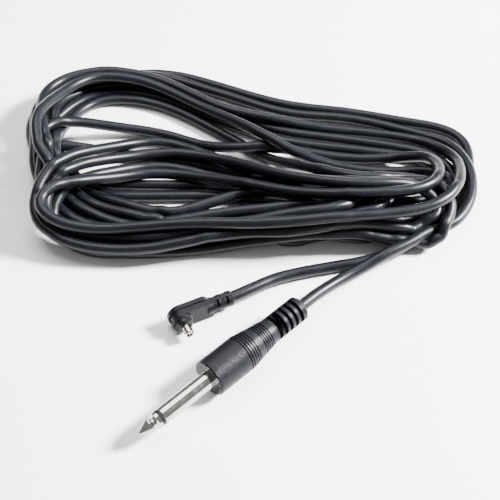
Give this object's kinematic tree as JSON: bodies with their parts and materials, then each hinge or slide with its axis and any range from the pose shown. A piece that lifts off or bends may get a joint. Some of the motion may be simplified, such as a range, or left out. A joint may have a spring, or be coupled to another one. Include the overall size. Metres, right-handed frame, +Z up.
{
  "type": "flash synchronising lead",
  "caption": "Black flash sync lead for a camera: a straight 6.35 mm mono phone plug and a right-angled coaxial flash plug on a thin cable laid in a loose flat hank.",
  "frame": {"origin": "on the table under the middle of the box round the two plugs, cable left out", "axes": "+X along the length of the hank of cable, +Y from the plugs towards the hank, +Z up from the table"},
  "size_m": [0.193, 0.1957, 0.02],
  "materials": {
    "nickel_plate": "polished nickel plate",
    "black_insulation": "smooth moulded insulation",
    "moulding_black": "satin with a fine grain",
    "cable_jacket": "satin flexible vinyl",
    "insert_plastic": "matt natural polymer",
    "core_insulation": "matt white polymer",
    "tinned_brass": "tinned sheet",
    "copper_strand": "bare copper",
    "solder_metal": "dull solder",
    "pin_metal": "bright pin"
  },
  "bodies": {
    "root": {"plug_tip": "nickel_plate", "tip_ring": "black_insulation", "sleeve_lining": "black_insulation", "rear_washer": "black_insulation", "plug_sleeve": "nickel_plate", "tip_tag": "tinned_brass", "earth_tag": "tinned_brass", "phone_jacket_end": "cable_jacket", "phone_core": "core_insulation", "phone_wire": "copper_strand", "phone_braid": "copper_strand", "tip_solder": "solder_metal", "earth_solder": "solder_metal", "phone_insert": "insert_plastic", "phone_moulding": "moulding_black", "pc_barrel": "nickel_plate", "pc_bush": "black_insulation", "pc_pin": "pin_metal", "pc_collar": "black_insulation", "pc_pin_tag": "tinned_brass", "pc_earth_tag": "tinned_brass", "pc_jacket_end": "cable_jacket", "pc_core": "core_insulation", "pc_wire": "copper_strand", "pc_braid": "copper_strand", "pc_pin_solder": "solder_metal", "pc_earth_solder": "solder_metal", "pc_insert": "insert_plastic", "pc_moulding": "moulding_black", "phone_tail": "cable_jacket", "pc_tail": "cable_jacket", "cable_hank": "cable_jacket"}
  },
  "joints": []
}
